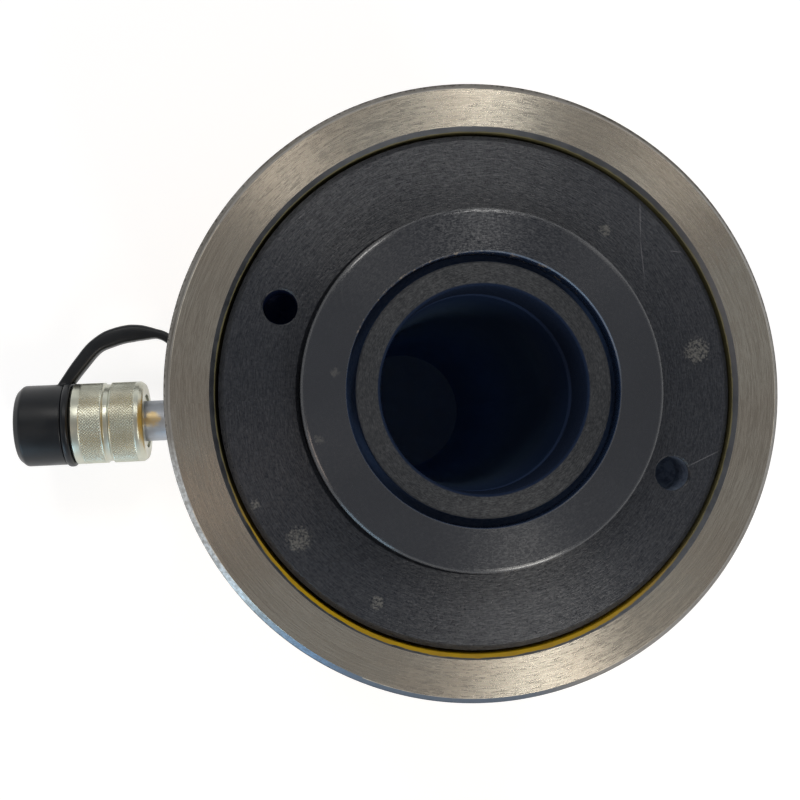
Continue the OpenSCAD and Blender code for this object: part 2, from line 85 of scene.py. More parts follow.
# Along the inlet, places are distances from the plunger axis towards -X
NIPPLE_FAR, NIPPLE_NEAR = corners("port_nipple")
NIPPLE_IN = -NIPPLE_NEAR[0]
NIPPLE_END = -NIPPLE_FAR[0]
NIPPLE_R = NIPPLE_NEAR[1]
PORT_Z = (NIPPLE_FAR[2] + NIPPLE_NEAR[2]) / 2
NUT_FAR, NUT_NEAR = corners("union_nut")
NUT_BACK = -NUT_NEAR[0]
NUT_FRONT = -NUT_FAR[0]
NUT_R = NUT_NEAR[2] - PORT_Z
CAP_FAR, CAP_NEAR = corners("dust_cap")
CAP_IN = -CAP_NEAR[0]
CAP_END = -CAP_FAR[0]
CAP_R = CAP_NEAR[2] - PORT_Z
STRAP_RING_IN = -corners("cap_strap")[1][0]

# Barrel
COLLAR_R = 6.25 * INCH / 2
THREAD_PITCH = INCH / 12
THREAD_DEPTH = 1.298
RIM_CHAMFER = 1.9
PAINT_TOP = 183
RELIEF_R = 78.1
RELIEF_TOP = 187.6
MOUTH_R = 66.6
MOUTH_CHAMFER = 1.25
GLAND_SEAT = 203
BORE_R = 62
BORE_FLOOR = 26
TUBE_HOLE_R = 32.55
TUBE_SEAT_R = 37.2
TUBE_SEAT_H = 5.8
O_RING_R = 36
O_RING_LOW = 11
O_RING_HIGH = 16.5
BASE_HOLE_R = 6.75
BASE_HOLE_SINK = 1.2
BASE_HOLE_DEPTH = 18
BASE_HOLE_OUT = 65.15

# Rings of the top face
SADDLE_HOLE_R = 26
RIM_R = 31.7
GROOVE_R = SADDLE_R + 0.1
SPANNER_IN = 49.5
SPANNER_OUT = 59.5

# Knurl of the nut
KNURL_TEETH = 84
KNURL_PITCH = 1.27
KNURL_STEPS = 6
KNURL_DEPTH = 0.32


# Meshes
def make(name, points, faces, mats, weld=1e-6, angle=32):
    """A mesh object, welded, with outward normals and edges sharp from an angle on."""
    me = bpy.data.meshes.new(name)
    me.from_pydata([tuple(v) for v in np.asarray(points, float) * MM], [], [tuple(f) for f in faces])
    bm = bmesh.new()
    bm.from_mesh(me)
    bmesh.ops.remove_doubles(bm, verts=bm.verts, dist=weld)
    bmesh.ops.dissolve_degenerate(bm, edges=bm.edges, dist=1e-7)
    bmesh.ops.recalc_face_normals(bm, faces=bm.faces)
    bm.to_mesh(me)
    bm.free()
    me.shade_smooth()
    me.set_sharp_from_angle(angle=math.radians(angle))
    for mat in mats:
        me.materials.append(mat)
    ob = bpy.data.objects.new(name, me)
    scene.collection.objects.link(ob)
    return ob


def quads(rows, cols, wrap_rows=False):
    """Faces of a rows by cols grid whose columns close on themselves."""
    out = []
    for i in range(rows if wrap_rows else rows - 1):
        this = i * cols
        following = (i + 1) % rows * cols
        for j in range(cols):
            k = (j + 1) % cols
            out.append((this + j, this + k, following + k, following + j))
    return out


def revolve(profile, n):
    """Points of a profile of (radius, height) turned about Z in n steps, row by row."""
    p = np.asarray(profile, float)
    a = np.arange(n) * TAU / n
    x = p[:, :1] * np.cos(a)
    y = p[:, :1] * np.sin(a)
    return np.stack([x, y, np.repeat(p[:, 1:], n, 1)], -1).reshape(-1, 3)


def lay(points):
    """Points drawn about Z, laid along the inlet: height becomes the distance along -X."""
    p = np.asarray(points, float)
    return np.stack([-p[:, 2], p[:, 1], p[:, 0] + PORT_Z], -1)


def rounded(profile, radii, steps=5):
    """The profile with a curve at each corner that has a radius."""
    pts = [Vector(p) for p in profile]
    out = []
    for i, p in enumerate(pts):
        radius = radii.get(i, 0)
        before = pts[i - 1] - p
        after = pts[(i + 1) % len(pts)] - p
        if not radius or min(before.length, after.length) < 1e-9:
            out.append(tuple(p))
            continue
        half = before.angle(after) / 2
        cut_back = min(radius / math.tan(half), 0.49 * before.length, 0.49 * after.length)
        start = p + before.normalized() * cut_back
        end = p + after.normalized() * cut_back
        for k in range(steps + 1):
            t = k / steps
            out.append(tuple(start.lerp(p, t).lerp(p.lerp(end, t), t)))
    return out


def join(*parts):
    """Several (points, faces) as one."""
    points = []
    faces = []
    base = 0
    for v, f in parts:
        points.append(np.asarray(v, float))
        faces += [tuple(i + base for i in face) for face in f]
        base += len(v)
    return np.concatenate(points), faces


def helix(turn, radius, z0, z1, pitch, n):
    """A threaded wall between two heights: rows follow the helix, and are held at both ends."""
    turns = int(math.ceil((z1 - z0) / pitch)) + 1
    rows = np.array([i + t for i in range(-1, turns + 1) for t in turn])
    a = np.arange(n + 1) / n
    z = np.clip(z0 + (rows[:, None] + a[None, :]) * pitch, z0, z1)
    r = radius(np.repeat(rows[:, None] % 1, n + 1, 1), z)
    points = np.stack([r * np.cos(a * TAU), r * np.sin(a * TAU), z], -1).reshape(-1, 3)
    m = n + 1
    faces = [(i * m + j, i * m + j + 1, (i + 1) * m + j + 1, (i + 1) * m + j)
             for i in range(len(rows) - 1) for j in range(n)]
    return points, faces


def smooth_path(knots, steps):
    """Points of a smooth curve through the knots, from the second to the last but one."""
    path = []
    for a, b, c, d in zip(knots, knots[1:], knots[2:], knots[3:]):
        for t in np.arange(steps) / steps:
            path.append(0.5 * (2 * b + (c - a) * t + (2 * a - 5 * b + 4 * c - d) * t ** 2
                               + (3 * b - a - 3 * c + d) * t ** 3))
    return np.array(path + [knots[-2]])


# Materials
def lin(*rgb):
    """Linear colour of an sRGB colour."""
    return tuple((c / 255 / 12.92 if c <= 10 else ((c / 255 + 0.055) / 1.055) ** 2.4) for c in rgb) + (1,)


class Paint:
    """A node material under construction. Places and sizes in it are millimetres."""

    def __init__(self, name, **sockets):
        self.mat = bpy.data.materials.new(name)
        self.mat.use_nodes = True
        self.tree = self.mat.node_tree
        self.bsdf = self.tree.nodes["Principled BSDF"]
        self.point = None
        self.put(self.bsdf, sockets)

    def put(self, node, sockets):
        """Set or link sockets, by number or by name with _ for a space."""
        for key, value in sockets.items():
            socket = node.inputs[key] if isinstance(key, int) else node.inputs[key.replace("_", " ")]
            if isinstance(value, bpy.types.NodeSocket):
                self.tree.links.new(value, socket)
            else:
                socket.default_value = value

    def add(self, kind, props=None, **sockets):
        node = self.tree.nodes.new("ShaderNode" + kind)
        for key, value in (props or {}).items():
            setattr(node, key, value)
        self.put(node, sockets)
        return node

    def math(self, operation, *args):
        node = self.add("Math", {"operation": operation})
        self.put(node, dict(enumerate(args)))
        return node.outputs[0]

    def plus(self, a, b):
        return self.math("ADD", a, b)

    def minus(self, a, b):
        return self.math("SUBTRACT", a, b)

    def times(self, a, b):
        return self.math("MULTIPLY", a, b)

    def vector(self, operation, *args):
        node = self.add("VectorMath", {"operation": operation})
        self.put(node, dict(enumerate(args)))
        return node.outputs

    def place(self):
        """The point on the piece."""
        if self.point is None:
            metres = self.add("TexCoord").outputs["Object"]
            scaled = self.add("VectorMath", {"operation": "SCALE"}, Vector=metres, Scale=1 / MM)
            self.point = scaled.outputs[0]
        return self.point

    def polar(self, along="Z"):
        """Radius, angle and height about the plunger axis, or about the inlet axis."""
        parts = self.add("SeparateXYZ", Vector=self.place()).outputs
        if along == "Z":
            x, y, h = parts
        else:
            h, y, x = parts
            x = self.minus(x, PORT_Z)
        r = self.math("SQRT", self.plus(self.times(x, x), self.times(y, y)))
        return r, self.math("ARCTAN2", y, x), h

    def noise(self, scale, detail=3.0, rough=0.55, vector=None):
        point = vector or self.place()
        node = self.add("TexNoise", Vector=point, Scale=scale, Detail=detail, Roughness=rough)
        return node.outputs["Fac"]

    def rings(self, along, across, wander=0.35):
        """Fine turning lines: noise that runs round the axis."""
        r, a, h = self.polar(along)
        x = self.times(r, across)
        y = self.times(h, across)
        unrolled = self.add("CombineXYZ", X=x, Y=y, Z=self.times(a, wander))
        return self.noise(1.0, 4.0, 0.65, unrolled.outputs[0])

    def ramp(self, value, low, high, to_low=0.0, to_high=1.0):
        """A smooth step from one value to another."""
        node = self.add("MapRange", {"interpolation_type": "SMOOTHSTEP"},
                        Value=value, From_Min=low, From_Max=high, To_Min=to_low, To_Max=to_high)
        return node.outputs[0]

    def between(self, value, low, high, soft):
        """1 between two values and 0 outside them, with soft steps."""
        return self.times(self.ramp(value, low, low + soft), self.ramp(value, high, high + soft, 1.0, 0.0))

    def facing(self, angle, degrees):
        """1 on one side of the ring, falling to -1 on the other."""
        return self.math("COSINE", self.minus(angle, math.radians(degrees)))

    def mix(self, factor, a, b):
        node = self.add("Mix", {"data_type": "RGBA"})
        self.put(node, {0: factor, 6: a, 7: b})
        return node.outputs[2]

    def dimmed(self, value, factor, share):
        """The value, less a share of it where the factor is 1."""
        return self.times(value, self.minus(1.0, self.times(factor, share)))

    def bump(self, height, strength, distance, normal=None):
        node = self.add("Bump", Strength=strength, Distance=distance * MM, Height=height)
        if normal is not None:
            self.put(node, {"Normal": normal})
        return node.outputs[0]

    def spin(self):
        """A tangent that runs round the plunger axis, for turned metal."""
        tangent = self.add("Tangent", {"direction_type": "RADIAL", "axis": "Z"})
        self.put(self.bsdf, {"Tangent": tangent.outputs[0], "Anisotropic Rotation": 0.25})

    def out(self, **sockets):
        self.put(self.bsdf, sockets)
        return self.mat


def turned_steel():
    """The collar's face: bare turned steel with fine streaks and warm stains."""
    p = Paint("bare_turned_steel", Metallic=1.0, Anisotropic=0.86)
    p.spin()
    streak = p.rings("Z", 5.2, 26)
    line = p.rings("Z", 3.0, 4)
    stain = p.noise(0.013, 4, 0.6)
    warm = p.mix(p.ramp(stain, 0.4, 0.64), lin(212, 206, 190), lin(198, 187, 170))
    marks = p.plus(p.times(streak, 0.62), p.times(line, 0.38))
    colour = p.mix(p.ramp(marks, 0.38, 0.62, 0.0, 0.62), warm, lin(138, 129, 118))
    rough = p.plus(p.ramp(streak, 0.34, 0.68, 0.13, 0.39), p.ramp(stain, 0.35, 0.65, 0.0, 0.05))
    return p.out(Base_Color=colour, Roughness=rough, Normal=p.bump(marks, 0.45, 0.06))


def mouth_paint():
    """The mouth's edge: amber paint, widest on one side of the ring, and bare steel outside it."""
    p = Paint("mouth_paint", Coat_Weight=0.15, Coat_Roughness=0.25)
    r, a, _ = p.polar()
    side = p.facing(a, 258)
    patch = p.noise(0.17, 4, 0.65)
    width = p.plus(p.ramp(side, 0.4, 0.95, 0.2, 0.83), p.ramp(patch, 0.3, 0.7, -0.12, 0.12))
    painted = p.ramp(p.minus(p.plus(width, MOUTH_R), r), -0.06, 0.06)
    amber = p.mix(p.ramp(patch, 0.35, 0.7), lin(178, 144, 5), lin(160, 126, 3))
    paint = p.mix(p.ramp(side, 0.35, 0.85), lin(104, 99, 68), amber)
    return p.out(Base_Color=p.mix(painted, lin(112, 115, 120), paint), Metallic=p.minus(1.0, painted),
                 Roughness=p.ramp(patch, 0.3, 0.7, 0.34, 0.5), Normal=p.bump(p.noise(0.6), 0.2, 0.2))


def thread_steel():
    """Collar thread and rim: darker at the crests, with a painted bright highlight on one side and a painted
    bluish reflection beside that.
    """
    p = Paint("bare_thread_steel", Metallic=1.0)
    r, a, _ = p.polar()
    grain = p.noise(0.9)
    stain = p.rings("Z", 0.24, 3.0)
    dull = p.mix(p.ramp(stain, 0.38, 0.72), lin(128, 125, 120), lin(104, 99, 92))
    crest = p.ramp(r, COLLAR_R - 0.975, COLLAR_R - 0.075, -0.1, 0.12)
    darker_crests = p.ramp(p.plus(crest, p.noise(1.3, 4, 0.7)), 0.54, 0.64, 0.0, 0.75)
    dull = p.mix(darker_crests, dull, lin(56, 53, 49))
    # Painted bluish reflection on the side facing 254 degrees.
    dull = p.mix(p.ramp(p.facing(a, 254), 0.8, 0.96, 0.0, 0.85), dull, lin(78, 92, 108))
    # Painted bright highlight, mottled, on the side facing 204 degrees.
    mottle = p.ramp(p.noise(0.7, 4, 0.7), 0.4, 0.58, 0.35, 1.0)
    painted_highlight = p.times(p.ramp(p.facing(a, 204), 0.945, 0.985), mottle)
    return p.out(Base_Color=p.mix(painted_highlight, dull, lin(184, 186, 186)),
                 Roughness=p.ramp(grain, 0.2, 0.8, 0.26, 0.46), Normal=p.bump(grain, 0.2, 0.05))


def yellow_paint():
    """Gloss enamel with orange peel, dust towards the foot and small chips at both painted edges."""
    p = Paint("yellow_paint", Coat_Weight=0.2, Coat_Roughness=0.1, Specular_IOR_Level=0.35)
    h = p.polar()[2]
    tone = p.noise(0.009, 4, 0.6)
    peel = p.noise(0.42, 2)
    speck = p.noise(1.5, 2)
    colour = p.mix(p.ramp(tone, 0.35, 0.7), lin(240, 180, 14), lin(231, 168, 9))
    dust = p.times(p.ramp(h, 0.0, 70.0, 0.5, 0.0), p.ramp(p.noise(0.06, 5, 0.7), 0.35, 0.75))
    colour = p.mix(dust, colour, lin(178, 136, 46))
    colour = p.mix(p.ramp(speck, 0.72, 0.78, 0.0, 0.5), colour, lin(150, 100, 12))
    edge = p.math("MAXIMUM", p.ramp(h, 1.0, 5.0, 1.0, 0.0), p.ramp(h, PAINT_TOP - 3.5, PAINT_TOP + 1.0))
    chip = p.ramp(p.plus(p.noise(0.24, 4, 0.6), p.times(edge, 0.16)), 0.74, 0.76)
    colour = p.mix(chip, colour, lin(104, 98, 92))
    rough = p.plus(p.ramp(tone, 0.3, 0.7, 0.28, 0.4), p.times(dust, 0.25))
    height = p.minus(p.times(peel, 0.3), chip)
    return p.out(Base_Color=colour, Roughness=rough, Normal=p.bump(height, 0.4, 0.4))


def base_steel():
    """Machined and a little stained: the base and the bore."""
    p = Paint("machined_base", Metallic=1.0, Anisotropic=0.6)
    p.spin()
    fine = p.rings("Z", 3.0)
    stain = p.noise(0.022, 5, 0.65)
    return p.out(Base_Color=p.mix(p.ramp(stain, 0.35, 0.7), lin(150, 147, 142), lin(116, 106, 96)),
                 Roughness=p.ramp(fine, 0.25, 0.8, 0.3, 0.5), Normal=p.bump(fine, 0.3, 0.06))


def smudge(p, centre, size):
    """A blotchy rub about a point."""
    near = p.ramp(p.vector("DISTANCE", p.place(), centre)["Value"], 0.4 * size, 1.3 * size, 0.06, -0.3)
    return p.ramp(p.plus(near, p.noise(1.5, 4, 0.75)), 0.46, 0.62)


def scratch(p, start, end, width=0.16):
    """A fine line between two points at one height."""
    start = Vector(start)
    way = Vector(end) - start
    length = way.length
    way.normalize()
    offset = p.vector("SUBTRACT", p.place(), tuple(start))[0]
    along = p.vector("DOT_PRODUCT", offset, tuple(way))["Value"]
    across = p.vector("DOT_PRODUCT", offset, (-way.y, way.x, 0))["Value"]
    line = p.ramp(p.math("ABSOLUTE", across), 0.3 * width, width, 1.0, 0.0)
    run = p.times(p.ramp(along, 0.0, 0.2 * length), p.ramp(along, 0.6 * length, length, 1.0, 0.0))
    return p.times(line, run)


def smudged(p, colour, spots, top, strength):
    """The colour with pale rubs at spots of (x, y, size)."""
    for x, y, size in spots:
        rub = p.times(smudge(p, (x, y, top), size), strength)
        colour = p.mix(rub, colour, lin(104, 103, 98))
    return colour


def dark_base(p, tone, pale, rough, grain_size, tooth):
    """Blackened turned steel: its colour, roughness, normal and grain."""
    p.spin()
    streak = p.rings("Z", 3.4, 40)
    line = p.rings("Z", 1.3, 2)
    grain = p.noise(grain_size, 3, 0.7)
    cloud = p.noise(0.03, 4, 0.6)
    bright = tuple(2.6 * c for c in pale[:3]) + (1,)
    show = min(tooth, 1)
    colour = p.mix(p.ramp(cloud, 0.3, 0.72), tone, pale)
    colour = p.mix(p.ramp(streak, 0.5, 0.75, 0.0, 0.5 * show), colour, bright)
    colour = p.mix(p.ramp(grain, 0.58, 0.8, 0.0, 0.6 * show), colour, bright)
    roughness = p.plus(p.ramp(grain, 0.2, 0.85, rough - 0.06, rough + 0.1),
                       p.ramp(streak, 0.3, 0.75, -0.06, 0.08))
    normal = p.bump(grain, 0.35 * tooth, 0.12)
    normal = p.bump(line, 0.3 * tooth, 0.12, normal)
    normal = p.bump(streak, 0.6 * tooth, 0.1, normal)
    return colour, roughness, normal, grain


def flecks(p, grain, depth):
    """Glints and dull spots of the turning marks, about zero."""
    marks = p.plus(p.times(p.rings("Z", 6.0, 24), 0.7), p.times(grain, 0.3))
    return p.ramp(marks, 0.38, 0.64, -depth, depth)


def shaded_groove(p, r, inner, outer, colour, shine):
    """Bluish shade on the walls of the groove round the saddle."""
    low = p.between(r, inner, outer, 0.1)
    return p.mix(low, colour, lin(30, 46, 72)), p.dimmed(shine, low, 0.5)


GLAND_SMUDGES = ((57.4, 8, 4.5), (-47, -35, 4.3), (-28.3, -52, 2.4), (34.8, 40.1, 2.2), (-57.6, -26, 1.9))
GLAND_SCRATCHES = (((44.4, 47.9), (44.0, 36)), ((43.9, 38), (44.7, 25)),
                   ((51.5, 34.2), (55.5, 33.6)), ((53, -21.8), (63.5, -17.4)))
PLUNGER_SMUDGES = ((-36.6, 5.6, 1.7), (-41.1, -10.3, 1.9))


def gland_steel():
    """Black oxide with coarse turning marks, rubs and scratches, painted navy shade inside the spanner
    holes, and dust in the spanner hole on one side.
    """
    p = Paint("black_oxide", Anisotropic=0.82)
    r, a, h = p.polar()
    colour, rough, normal, grain = dark_base(p, lin(25, 28, 34), lin(32, 35, 41), 0.33, 1.5, 1.5)
    colour = smudged(p, colour, GLAND_SMUDGES, GLAND_TOP, 0.62)
    for start, end in GLAND_SCRATCHES:
        line = scratch(p, (*start, GLAND_TOP), (*end, GLAND_TOP))
        colour = p.mix(p.times(line, 0.5), colour, lin(112, 112, 116))
    shine = p.times(p.plus(flecks(p, grain, 0.55), 1.0), 0.7)
    # Inside the spanner holes: painted navy shade and less shine, with pale dust in the hole on the +X side.
    deep = p.times(p.between(r, SPANNER_IN, SPANNER_OUT, 0.1),
                   p.ramp(h, GLAND_TOP - 1.5, GLAND_TOP - 0.3, 1.0, 0.0))
    dust = p.times(p.ramp(p.facing(a, 0), -0.2, 0.2), p.ramp(p.noise(0.5, 4, 0.7), 0.3, 0.6, 0.4, 1.0))
    colour = p.mix(deep, colour, p.mix(dust, lin(16, 30, 64), lin(120, 132, 150)))
    return p.out(Base_Color=colour, Roughness=rough, Normal=normal,
                 Specular_IOR_Level=p.dimmed(shine, deep, 0.8))


def plunger_steel():
    """Smooth nitrided steel: flecks on one side of the top face, and a groove with grit and a painted bluish
    glint on its outer edge.
    """
    p = Paint("nitrided_steel", Anisotropic=0.8)
    r, a, h = p.polar()
    colour, rough, normal, grain = dark_base(p, lin(27, 30, 36), lin(33, 36, 42), 0.24, 2.2, 0.08)
    colour = smudged(p, colour, PLUNGER_SMUDGES, PLUNGER_TOP, 0.28)
    shine = p.times(flecks(p, grain, 0.75), p.ramp(p.facing(a, 84.8), 0.75, 0.98))
    shine = p.plus(p.times(shine, p.ramp(h, PLUNGER_TOP - 1.2, PLUNGER_TOP - 0.4)), 1.0)
    colour, shine = shaded_groove(p, r, RIM_R - 1.7, GROOVE_R, colour, shine)
    ring = p.times(p.between(r, GROOVE_R - 0.35, GROOVE_R + 0.25, 0.2), p.ramp(p.facing(a, 100.3), 0.3, 0.8))
    grit = p.times(ring, p.ramp(p.noise(0.62, 4, 0.7), 0.54, 0.64))
    colour = p.mix(p.times(grit, 0.8), colour, lin(124, 112, 96))
    # Painted bluish glint on the groove's outer edge, on the side facing 48.7 degrees.
    painted_edge_glint = p.times(p.ramp(r, GROOVE_R, GROOVE_R + 0.06), p.ramp(r, GROOVE_R + 0.3, GROOVE_R + 0.4, 1.0, 0.0))
    painted_edge_glint = p.times(painted_edge_glint, p.ramp(p.facing(a, 48.7), 0.6, 0.95, 0.0, 0.5))
    colour = p.mix(painted_edge_glint, colour, lin(104, 126, 152))
    return p.out(Base_Color=colour, Roughness=p.plus(rough, p.times(grit, 0.4)), Normal=normal,
                 Specular_IOR_Level=shine)


def saddle_steel():
    """Worn oxide, grainy on the rim, shaded in the groove, and painted dark navy shade inside the hole, with
    more roughness and less shine there.
    """
    p = Paint("worn_oxide", Anisotropic=0.5)
    r = p.polar()[0]
    colour, rough, normal, grain = dark_base(p, lin(34, 36, 39), lin(42, 44, 47), 0.44, 1.1, 0.8)
    shine = p.times(p.plus(flecks(p, grain, 0.6), 1.0), 0.46)
    colour, shine = shaded_groove(p, r, RIM_R - 0.08, SADDLE_R + 6, colour, shine)
    # Painted dark navy shade on the wall of the hole.
    inside = p.ramp(r, SADDLE_HOLE_R + 0.1, SADDLE_HOLE_R + 0.5, 1.0, 0.0)
    return p.out(Base_Color=p.mix(inside, colour, lin(21, 32, 52)), Normal=normal,
                 Roughness=p.plus(rough, p.times(inside, 0.3)),
                 Specular_IOR_Level=p.dimmed(shine, inside, 0.85))


def shade_graded_tube():
    """The tube through the middle, painted dark blue near its top and pale blue lower down: painted shade
    and light that even out the fall of light down the hole.
    """
    p = Paint("dark_tube", Specular_IOR_Level=0.12)
    h = p.polar()[2]
    film = p.noise(0.04, 4, 0.6)
    colour = p.mix(p.ramp(film, 0.3, 0.7), lin(168, 206, 250), lin(174, 212, 253))
    # Painted shade and light: dark blue near the top, pale blue lower down.
    colour = p.mix(p.ramp(h, 80.0, TUBE_TOP - 2), colour, lin(31, 46, 73))
    return p.out(Base_Color=colour, Roughness=p.ramp(film, 0.3, 0.7, 0.5, 0.62),
                 Normal=p.bump(p.rings("Z", 0.9, 1.0), 0.15, 0.1))


def plated(name, tone, shade, rough, lines=0.12, amber_reflection=None):
    """Plated metal turned about the inlet axis, with a painted amber reflection at a spot, where one is
    given.
    """
    p = Paint(name, Metallic=1.0)
    fine = p.rings("X", 2.6)
    cloud = p.noise(0.07, 4, 0.6)
    colour = p.mix(p.ramp(cloud, 0.35, 0.7), tone, shade)
    if amber_reflection:
        centre, size = amber_reflection
        # Painted amber reflection, blotchy, about the given spot.
        near = p.ramp(p.vector("DISTANCE", p.place(), centre)["Value"], 0.3 * size, 1.2 * size, 0.3, -0.3)
        paint = p.ramp(p.plus(near, p.noise(0.26)), 0.45, 0.8, 0.0, 0.7)
        colour = p.mix(paint, colour, lin(206, 178, 112))
    roughness = p.plus(p.ramp(cloud, 0.3, 0.7, rough, rough + 0.09), p.ramp(fine, 0.3, 0.8, 0.0, 0.06))
    return p.out(Base_Color=colour, Roughness=roughness, Normal=p.bump(fine, lines, 0.05))


def rubber(name, tone, dust, rough):
    """Moulded rubber or urethane with a little dust."""
    p = Paint(name, Specular_IOR_Level=0.3)
    cloud = p.noise(0.055, 4, 0.6)
    return p.out(Base_Color=p.mix(p.ramp(cloud, 0.42, 0.8), tone, dust),
                 Roughness=p.ramp(cloud, 0.3, 0.75, rough - 0.05, rough + 0.12),
                 Normal=p.bump(p.noise(1.3), 0.12, 0.12))


def plain(name, tone, other, rough, metallic=0.0, size=0.3):
    """Two tones with a fine grain, for the pieces inside."""
    p = Paint(name, Metallic=metallic)
    grain = p.noise(size, 4, 0.6)
    return p.out(Base_Color=p.mix(p.ramp(grain, 0.3, 0.7), tone, other),
                 Roughness=p.ramp(grain, 0.25, 0.8, rough - 0.06, rough + 0.1),
                 Normal=p.bump(grain, 0.15, 0.1))


STEEL = turned_steel()
THREAD = thread_steel()
YELLOW = yellow_paint()
BASE = base_steel()
MOUTH = mouth_paint()
GLAND = gland_steel()
NITRIDED = plunger_steel()
SADDLE = saddle_steel()
TUBE = shade_graded_tube()
ZINC = plated("zinc_plate", lin(197, 199, 185), lin(178, 179, 165), 0.28)
# The nipple has a painted amber reflection on its top near the nut.
NIPPLE = plated("zinc_nipple", lin(164, 169, 176), lin(146, 151, 158), 0.4,
                amber_reflection=((-NUT_BACK + 2.5, 0.5, PORT_Z + NIPPLE_R - 0.05), 5.2))
RUBBER = rubber("cap_rubber", lin(16, 20, 25), lin(24, 28, 32), 0.36)
NITRILE = rubber("nitrile", lin(26, 26, 26), lin(36, 36, 36), 0.5)
URETHANE = rubber("wiper_urethane", lin(24, 24, 25), lin(34, 34, 34), 0.4)
BLUE = rubber("seal_urethane", lin(30, 66, 128), lin(42, 80, 140), 0.36)
PTFE = plain("ptfe", lin(228, 226, 216), lin(214, 212, 202), 0.45)
BRONZE = plain("bronze_ptfe", lin(126, 98, 66), lin(108, 84, 58), 0.55)
SPRING = plain("spring_steel", lin(92, 94, 98), lin(70, 70, 74), 0.36, 1.0, 0.5)
BEARING = plated("bearing_steel", lin(214, 215, 217), lin(204, 205, 208), 0.08, 0.02)

DRESS = {
    "center_tube": TUBE, "tube_retaining_ring": SPRING, "tube_seal": NITRILE, "tube_backup_ring": PTFE,
    "gland_nut": GLAND, "gland_guide_ring": BRONZE, "plunger_wiper": URETHANE, "plunger": NITRIDED,
    "hollow_saddle": SADDLE, "piston_seal": BLUE, "piston_backup_ring": PTFE, "piston_guide_ring": BRONZE,
    "inner_seal": BLUE, "inner_backup_ring": PTFE, "inner_guide_ring": BRONZE, "tube_wiper": URETHANE,
    "coupler_body": ZINC, "nut_snap_ring": SPRING, "coupler_seal": NITRILE, "check_ball": BEARING,
    "cylinder_body": YELLOW, "return_spring": SPRING, "port_nipple": NIPPLE, "union_nut": ZINC,
    "check_spring": SPRING, "dust_cap": RUBBER, "cap_strap": RUBBER,
}
for name, mat in DRESS.items():
    slots = nodes[name].data.materials
    slots.clear()
    slots.append(mat)


# Barrel with its collar thread
def thread_radius(phase, z):
    """Radius of the collar thread by its place in the pitch, cut by the rim chamfer and by the relief."""
    down = np.interp(phase, [0, 0.125, 0.4375, 0.6875, 1], [0, 0, 1, 1, 0])
    r = np.minimum(COLLAR_R - THREAD_DEPTH * down, COLLAR_R - RIM_CHAMFER + (BODY_H - z))
    return np.minimum(r, RELIEF_R + (z - RELIEF_TOP))


def barrel_section():
    """Half section from the tube's seat round the outside, over the mouth and down the bore."""
    foot = 2.0
    bore_edge = 0.8
    bore_foot = 2.0
    hole_edge = 0.6
    return rounded([
        (TUBE_SEAT_R, 0), (BODY_R - foot, 0), (BODY_R, foot), (BODY_R, PAINT_TOP),
        (RELIEF_R, PAINT_TOP + BODY_R - RELIEF_R), (RELIEF_R, RELIEF_TOP),
        (COLLAR_R - RIM_CHAMFER, BODY_H), (MOUTH_R + MOUTH_CHAMFER, BODY_H),
        (MOUTH_R, BODY_H - MOUTH_CHAMFER), (MOUTH_R, GLAND_SEAT),
        (BORE_R + bore_edge, GLAND_SEAT), (BORE_R, GLAND_SEAT - bore_edge),
        (BORE_R, BORE_FLOOR + bore_foot), (BORE_R - bore_foot, BORE_FLOOR),
        (TUBE_HOLE_R + hole_edge, BORE_FLOOR), (TUBE_HOLE_R, BORE_FLOOR - hole_edge),
        (TUBE_HOLE_R, O_RING_HIGH), (O_RING_R, O_RING_HIGH),
        (O_RING_R, O_RING_LOW), (TUBE_HOLE_R, O_RING_LOW),
        (TUBE_HOLE_R, TUBE_SEAT_H), (TUBE_SEAT_R, TUBE_SEAT_H)], {1: 0.6, 2: 0.6, 3: 0.5}, 3)


def base_hole(y):
    """A countersunk blind hole in the base, as a solid to cut with."""
    n = 64
    sunk_r = BASE_HOLE_R + BASE_HOLE_SINK
    tip = BASE_HOLE_DEPTH + 0.6 * BASE_HOLE_R
    profile = [(0, -1), (sunk_r, -1), (sunk_r, 0), (BASE_HOLE_R, BASE_HOLE_SINK),
               (BASE_HOLE_R, BASE_HOLE_DEPTH), (0.2, tip), (0, tip)]
    return revolve(profile, n) + np.array([0, y, 0]), quads(len(profile), n)


def port_hole():
    """The inlet port with its oilway and countersink, as a solid to cut with."""
    n = 96
    oilway_r = 3.5
    oilway_in = BORE_R - 8
    port_r = NIPPLE_R + 0.05
    port_in = NIPPLE_IN - 0.3
    sunk_r = NIPPLE_R + 2.4
    sunk_in = BODY_R - 1.1
    sunk_out = BODY_R + 1.3
    outside = BODY_R + 4.5
    profile = [(0, oilway_in), (oilway_r, oilway_in), (oilway_r, port_in), (port_r, port_in),
               (port_r, sunk_in), (sunk_r, sunk_out), (sunk_r, outside), (0, outside)]
    return lay(revolve(profile, n)), quads(len(profile), n)


def cut(ob, tool):
    """The mesh of one object less another. Both objects are used up."""
    holes = ob.modifiers.new("holes", "BOOLEAN")
    holes.object = tool
    holes.operation = "DIFFERENCE"
    holes.solver = "EXACT"
    bpy.context.view_layer.update()
    me = bpy.data.meshes.new_from_object(ob.evaluated_get(bpy.context.evaluated_depsgraph_get()))
    bpy.data.objects.remove(ob)
    bpy.data.objects.remove(tool)
    return me


def open_collar(me):
    """Points and faces of the barrel without the plain wall that the thread takes the place of."""
    bm = bmesh.new()
    bm.from_mesh(me)
    wall = []
    for face in bm.faces:
        c = face.calc_center_median() / MM
        if c.z > RELIEF_TOP + 1 and c.xy.length > COLLAR_R - RIM_CHAMFER - 0.1 and abs(face.normal.z) < 0.5:
            wall.append(face)
    bmesh.ops.delete(bm, geom=wall, context="FACES")
    bm.to_mesh(me)
    bm.free()
    return np.array([v.co for v in me.vertices]) / MM, [tuple(f.vertices) for f in me.polygons]


